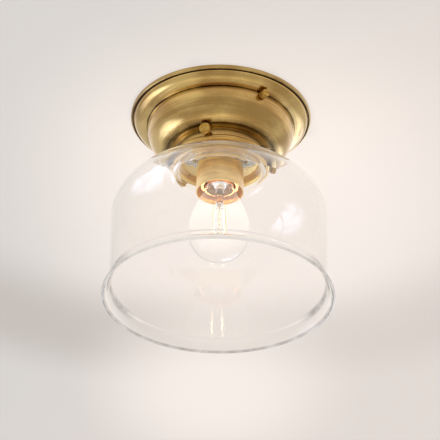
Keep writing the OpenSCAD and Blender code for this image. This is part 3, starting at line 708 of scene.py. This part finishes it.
class CEILINGLIGHT_OT_holder(Piece, bpy.types.Operator):
    """Builds the shade holder with its groove, pad and beaded skirt"""
    bl_idname = "ceiling_light.holder"
    bl_label = "Shade holder"

    def build(self, size):
        top = high("shade_holder").z
        groove = top - size.sheet
        pad = top - size.pad_drop
        inner = size.wall_radius - size.sheet
        wall_end = top - size.wall_height
        skirt_end = wall_end - size.skirt_height
        skirt_share, slope_share = 0.7, 0.55
        skirt = inner + size.skirt_out * skirt_share
        slope_end = wall_end - size.skirt_height * slope_share
        corner, pad_lean, bead_bite = 0.001, 0.0006, 0.0005
        path = [Vector((size.pad_hole / 2, pad))]
        path += arc((size.pad_radius - corner, pad + corner), corner, -90, 0)
        path += arc((size.pad_radius + pad_lean + corner, groove - corner), corner, 180, 90)
        path += arc((inner - size.wall_corner, groove - size.wall_corner), size.wall_corner,
                    90, 0)
        path += [Vector((inner, wall_end)), Vector((skirt, slope_end)),
                 Vector((skirt, skirt_end))]
        bead_middle = (size.wall_radius + size.skirt_out - size.bead_radius / 4,
                       skirt_end - size.bead_radius + bead_bite)
        # Painted shade in the crease above the bead
        above_bead = Crease(skirt + size.sheet, bead_middle[1] + size.bead_radius,
                            dark_reach=0.0003, reach=0.0011)
        holder = turned("holder_shell", sheet_outline(path, size.sheet))
        dress(holder, "shade_holder", aged_brass("holder brass", [above_bead]))
        bead_end = 330
        bead = turned("holder_bead", arc(bead_middle, size.bead_radius, 0, bead_end, steps=22))
        # The bead's brass is made lighter: a painted highlight
        bead.data.materials.append(aged_brass("bead brass", tone=1.3))
        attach(bead, BODY_OF["shade_holder"])


class CEILINGLIGHT_OT_screws(Piece, bpy.types.Operator):
    """Gives the knurled screws and the thumbscrews' bushes their brass"""
    bl_idname = "ceiling_light.screws"
    bl_label = "Thumbscrews and side screws"

    def build(self, size):
        knobs = [node for node in frame["nodes"] if "_knob_" in node]
        studs = [node for node in frame["nodes"] if "_stud_" in node]
        paint(small_brass("knob brass"), *knobs)
        paint(small_brass("stud brass", shine=0.34, shade=0.8), "thumb_bushes", *studs)


class CEILINGLIGHT_OT_shade(Piece, bpy.types.Operator):
    """Builds the clear glass shade"""
    bl_idname = "ceiling_light.shade"
    bl_label = "Glass shade"

    def build(self, size):
        top, lip, lip_radius = high("glass_shade").z, low("glass_shade").z, high("glass_shade").x
        edge = size.glass / 2
        neck_end = top - size.neck_height
        above_screws = 0.0003
        rim_end = high("thumb_stud_1").z + above_screws
        path = [Vector((size.neck_rim, top - edge)),
                Vector((size.neck_rim, rim_end + size.neck_taper)),
                Vector((size.neck, rim_end))]
        hollow = size.neck + size.neck_fillet
        hollow_end, shoulder_start = 262, 8.0
        path += arc((hollow, neck_end), size.neck_fillet, 180, hollow_end)
        path += bulge((hollow, neck_end - size.neck_fillet - size.shoulder),
                      size.body - hollow, size.shoulder,
                      size.shoulder_fullness, shoulder_start, 90.0, steps=48)
        start = Vector((size.waist, lip + size.flare))
        middle = Vector((lip_radius - edge, lip + edge))
        run = middle - start
        lean = math.atan2(run.x, -run.y) + math.asin(edge / run.length)
        bend = start + size.flare_bend * Vector((1, math.tan(lean / 2)))
        path += arc(bend, size.flare_bend, 180, 180 + math.degrees(lean))
        path.append(middle + edge * Vector((math.cos(lean), math.sin(lean))))
        shade = turned("glass_bell", sheet_outline(path, -size.glass, round_ends=True),
                       sides=256, crease=60)
        dress(shade, "glass_shade", clear_glass("shade glass", lip=(lip, lip + size.flare)))


class CEILINGLIGHT_OT_socket(Piece, bpy.types.Operator):
    """Finishes the lamp socket, its strap, cup, porcelain and contacts"""
    bl_idname = "ceiling_light.socket"
    bl_label = "Lamp socket"

    def build(self, size):
        look = looks()
        paint(plain_metal("zinc plate", look.zinc, shine=0.3), "socket_strap", "holder_nuts",
              "plain_washer", "socket_screws", "ground_lugs")
        paint(plain_metal("nickel plate", look.nickel, shine=0.16), "holder_screws")
        paint(moulded("porcelain", look.porcelain, shine=0.2, grain_scale=600.0, coat=0.4),
              "socket_body")
        paint(small_brass("contact brass", shade=0.85), "screw_shell", "centre_contact",
              "contact_rivets", "lead_ferrules")
        cup, cup_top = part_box("socket_cup")
        lamp_lit = (cup_top.x - size.sheet / 2, cup.z, cup.z + size.cup_glow)
        # The cup's brass is made lighter and glows: painted light of the lamp
        paint(aged_brass("cup brass", shine=0.3, tone=1.25, lamp_lit=lamp_lit), "socket_cup")


class CEILINGLIGHT_OT_wiring(Piece, bpy.types.Operator):
    """Finishes the leads, the wire connectors and the ground screw"""
    bl_idname = "ceiling_light.wiring"
    bl_label = "Wiring"

    def build(self, size):
        look = looks()
        for node, tint in (("lead_black", look.black_lead), ("lead_white", look.white_lead),
                           ("ground_lead", look.green_lead)):
            paint(moulded(node.replace("_", " "), tint, shine=0.35), node)
        paint(moulded("connector plastic", look.connector, shine=0.4, grain_scale=700.0),
              "wire_connectors")
        paint(moulded("green paint", look.green_paint, shine=0.3, grain_scale=500.0),
              "ground_screw")


class CEILINGLIGHT_OT_lamp(Piece, bpy.types.Operator):
    """Builds the lit lamp with its clear bulb"""
    bl_idname = "ceiling_light.lamp"
    bl_label = "Lamp"

    def build(self, size):
        look = looks()
        end, top, radius = low("bulb_glass").z, high("bulb_glass").z, high("bulb_glass").x
        cap_end = low("bulb_cap").z
        cap_wall, inside_cap, below_cap = 0.0013, 0.0006, 0.0012
        collar = high("bulb_cap").x - cap_wall
        globe = end + radius
        neck_end = cap_end - below_cap
        path = [Vector((collar, top)), Vector((collar, cap_end + inside_cap))]
        steps = 36
        for i in range(steps):
            widening = math.sin(math.pi / 2 * i / steps) ** size.lamp_fullness
            path.append(Vector((size.lamp_neck + (radius - size.lamp_neck) * widening,
                                neck_end + (globe - neck_end) * i / steps)))
        path += arc((0, globe), radius, 0, -90, steps=30)
        path[-1].x = 0.0
        bulb = turned("lamp_bulb", sheet_outline(path, -size.lamp_glass), sides=128, crease=50)
        rods, rods_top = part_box("bulb_filaments")
        glow_start, glow_full = rods.z - 0.010, rods.z + 0.012
        dress(bulb, "bulb_glass",
              clear_glass("bulb glass", ior=1.15, tint=(0.99, 0.99, 0.985), ripple=0.02,
                          glow=(glow_start, glow_full, look.bulb_light)))
        paint(clear_glass("stem glass", ior=1.46, tint=(0.97, 0.97, 0.95), ripple=0.02),
              "bulb_stem")
        paint(plain_metal("cap brass", look.cap, shine=0.35), "bulb_cap")
        paint(plain_metal("support wire", look.wire, shine=0.3), "bulb_supports")
        paint(moulded("black glass", look.black_glass, shine=0.1, grain_scale=500.0, coat=0.5),
              "bulb_insulator")
        paint(plain_metal("solder", look.solder, shine=0.35), "bulb_tip")
        paint(lit("lit filament"), "bulb_filaments")
        data = bpy.data.lights.new("lamp light", "POINT")
        data.energy = look.lamp
        data.color = look.lamp_light
        data.shadow_soft_size = 0.009
        light = bpy.data.objects.new("lamp light", data)
        bpy.context.scene.collection.objects.link(light)
        light.location = (rods + rods_top) / 2
        light.visible_camera = False
        light.visible_transmission = False
        light.visible_glossy = False


class CEILINGLIGHT_OT_camera(bpy.types.Operator):
    """Places the camera where the photograph was taken"""
    bl_idname = "ceiling_light.camera"
    bl_label = "Camera"
    bl_options = {"REGISTER", "UNDO"}

    def execute(self, context):
        picture_width, focal_pixels, sensor = 440, 2000.0, 36.0
        distance, below = 1.73655, math.radians(29.649)
        pitch, yaw, roll = 0.556876, -0.000423, 0.015594
        data = bpy.data.cameras.new("Camera")
        data.sensor_width = sensor
        data.lens = focal_pixels * sensor / picture_width
        camera = bpy.data.objects.new("Camera", data)
        context.scene.collection.objects.link(camera)
        ahead = Vector((0, math.cos(pitch), math.sin(pitch)))
        up = Vector((0, -math.sin(pitch), math.cos(pitch)))
        turn = Matrix.Rotation(yaw, 3, "Z")
        ahead, up, right = turn @ ahead, turn @ up, turn @ Vector((1, 0, 0))
        tilted_right = math.cos(roll) * right + math.sin(roll) * up
        tilted_up = math.cos(roll) * up - math.sin(roll) * right
        axes = Matrix((tilted_right, tilted_up, -ahead)).transposed()
        lip = low("glass_shade").z
        spot = Vector((0, -distance * math.cos(below), lip - distance * math.sin(below)))
        camera.matrix_world = Matrix.Translation(spot) @ axes.to_4x4()
        context.scene.camera = camera
        return {"FINISHED"}


class CEILINGLIGHT_OT_stage(bpy.types.Operator):
    """Adds the pale ceiling and floor, the soft lights and the surroundings"""
    bl_idname = "ceiling_light.stage"
    bl_label = "Stage"
    bl_options = {"REGISTER", "UNDO"}
    # Share of the ceiling's and the floor's look that is a light of their own
    own_light = 0.8

    def execute(self, context):
        look = looks()
        self.plane("ceiling", reach=2.4, z=0.0002, finish=self.ceiling_paint(look))
        self.plane("floor", reach=1.9, z=-2.4, finish=self.floor_paint(look))
        self.surroundings(context, look)
        context.scene.view_settings.view_transform = "Standard"
        return {"FINISHED"}

    def plane(self, name, reach, z, finish):
        """A level square that faces the light, from above or below."""
        mesh = bmesh.new()
        bmesh.ops.create_grid(mesh, x_segments=1, y_segments=1, size=reach)
        bmesh.ops.translate(mesh, verts=mesh.verts, vec=(0, 0, z))
        if z > 0:
            bmesh.ops.reverse_faces(mesh, faces=mesh.faces)
        data = bpy.data.meshes.new(name)
        mesh.to_mesh(data)
        mesh.free()
        data.materials.append(finish)
        piece = bpy.data.objects.new(name, data)
        bpy.context.scene.collection.objects.link(piece)

    def ceiling_paint(self, look):
        """Pale paint with soft patches of light and shade. It isn't there when it is looked at
        from above."""
        finish = Finish("ceiling paint", roughness=0.9)
        place = finish.place()
        x, y, _ = finish.parts(place)
        cloud = finish.noise(place, scale=3.0)
        slant, wander, shade_end, light_start = 0.25, 0.1, -0.1, 0.25
        tint = finish.mix(finish.ramp(x + y * slant + cloud * wander, shade_end, light_start),
                          look.ceiling_shade, look.ceiling)
        by_lamp = finish.patch(x, y, middle=(0.04, 0.16), edge=0.3, core=0.08,
                               stretch=(1.0, 0.7))
        tint = finish.mix(by_lamp, tint, look.ceiling_lit)
        in_front = finish.patch(x, y, middle=(0.0, -0.2), edge=0.26, core=0.05)
        tint = finish.mix(in_front * 0.4, tint, look.ceiling_shade)
        away = finish.from_point(x, y, middle=(0.0, 0.0))
        ring_start, ring_full, ring_fade, ring_end = 0.3, 0.42, 0.45, 0.56
        ring = finish.ramp(away, ring_start, ring_full) * finish.ramp(away, ring_end, ring_fade)
        right, left, least, more_at_left = 0.25, -0.25, 0.3, 0.35
        depth = finish.ramp(x, right, left) * more_at_left + least
        tint = finish.mix(ring * depth, tint, look.ceiling_ring)
        behind = finish.patch(x, y, middle=(0.0, 0.55), edge=0.26, core=0.04,
                              stretch=(1.4, 1.0))
        tint = finish.mix(behind, tint, look.ceiling_lit)
        finish.set(base_color=tint)
        finish.end(finish.seen() * self.own_light, finish.light(tint))
        geometry = finish.node("ShaderNodeNewGeometry")
        finish.end(finish.value(geometry, "Backfacing"), finish.clear())
        return finish.material

    def floor_paint(self, look):
        """Pale paint, with the light of the room and the lamp on it below the object."""
        finish = Finish("floor paint", roughness=0.7)
        place = finish.place()
        x, y, _ = finish.parts(place)
        wander, lit_end, floor_start = 0.3, 0.3, 1.2
        away = (finish.from_point(x, y, middle=(0.0, -0.5), stretch=(0.5, 1.0))
                + finish.noise(place, scale=2.0) * wander)
        tint = finish.mix(finish.ramp(away, lit_end, floor_start), look.floor_lit, look.floor)
        finish.set(base_color=tint)
        finish.end(finish.seen() * self.own_light, finish.light(tint, strength=1.2))
        return finish.material

    def surroundings(self, context, look):
        """Soft light from all round, dimmer behind the camera, with two soft windows."""
        world = bpy.data.worlds.new("surroundings")
        world.use_nodes = True
        context.scene.world = world
        nodes = Nodes(world.node_tree)
        direction = nodes.node("ShaderNodeTexCoord").outputs["Generated"]
        parts = nodes.node("ShaderNodeSeparateXYZ", None, {0: direction})
        straight_back, ahead = -1.0, 0.5
        away = nodes.ramp(nodes.value(parts, 1), straight_back, ahead)
        tint = nodes.mix(away, look.behind_camera, look.ahead)
        dimmest, all_dim, all_clear = 0.4, 0.36, 0.54
        cloud = nodes.noise(direction, scale=5.0, detail=1.0)
        patches = nodes.ramp(cloud, all_dim, all_clear) * (1.0 - dimmest) + dimmest
        left = Window((-0.74, 0.28, -0.60), reach=26, strength=look.window,
                      light=(0.82, 0.97, 1.38))
        right = Window((0.30, 0.90, -0.31), reach=22, strength=look.far_window,
                       light=(0.84, 0.98, 1.35))
        for window in (left, right):
            facing = nodes.node("ShaderNodeVectorMath", {"operation": "DOT_PRODUCT"},
                                {0: direction, 1: Vector(window.toward).normalized()})
            edge = math.cos(math.radians(window.reach))
            share = nodes.ramp(nodes.value(facing, "Value"), edge, 1.0)
            tint = nodes.add_colour(share * patches, times(window.light, window.strength), tint)
        path = nodes.node("ShaderNodeLightPath")
        tint = nodes.mix(nodes.value(path, "Is Camera Ray"), tint, look.backdrop)
        background = world.node_tree.nodes["Background"]
        nodes.feed(background.inputs["Color"], tint)
        background.inputs["Strength"].default_value = look.sky


class CEILINGLIGHT_PT_panel(bpy.types.Panel):
    """Lists the steps that build the light, with the sizes and looks that they use"""
    bl_idname = "CEILINGLIGHT_PT_panel"
    bl_label = "Ceiling Light"
    bl_space_type = "VIEW_3D"
    bl_region_type = "UI"
    bl_category = "Ceiling Light"

    def draw(self, context):
        for step in STEPS:
            self.layout.operator(step.bl_idname)
        for group in (sizes(), looks()):
            for name in group.bl_rna.properties.keys():
                if name not in ("rna_type", "name"):
                    self.layout.prop(group, name)


STEPS = (CEILINGLIGHT_OT_camera, CEILINGLIGHT_OT_stage, CEILINGLIGHT_OT_plate,
         CEILINGLIGHT_OT_canopy, CEILINGLIGHT_OT_holder, CEILINGLIGHT_OT_screws,
         CEILINGLIGHT_OT_shade, CEILINGLIGHT_OT_socket, CEILINGLIGHT_OT_wiring,
         CEILINGLIGHT_OT_lamp)
CLASSES = (CeilingLightSizes, CeilingLightLooks, *STEPS, CEILINGLIGHT_PT_panel)


def register():
    """Adds the groups, the steps and the panel."""
    for each in CLASSES:
        bpy.utils.register_class(each)
    bpy.types.Scene.ceiling_light_sizes = PointerProperty(type=CeilingLightSizes)
    bpy.types.Scene.ceiling_light_looks = PointerProperty(type=CeilingLightLooks)


def unregister():
    """Takes them away again."""
    del bpy.types.Scene.ceiling_light_looks
    del bpy.types.Scene.ceiling_light_sizes
    for each in reversed(CLASSES):
        bpy.utils.unregister_class(each)


def main():
    """Builds the light and its stage."""
    register()
    for step in STEPS:
        group, name = step.bl_idname.split(".")
        getattr(getattr(bpy.ops, group), name)()


if __name__ == "__main__":
    main()
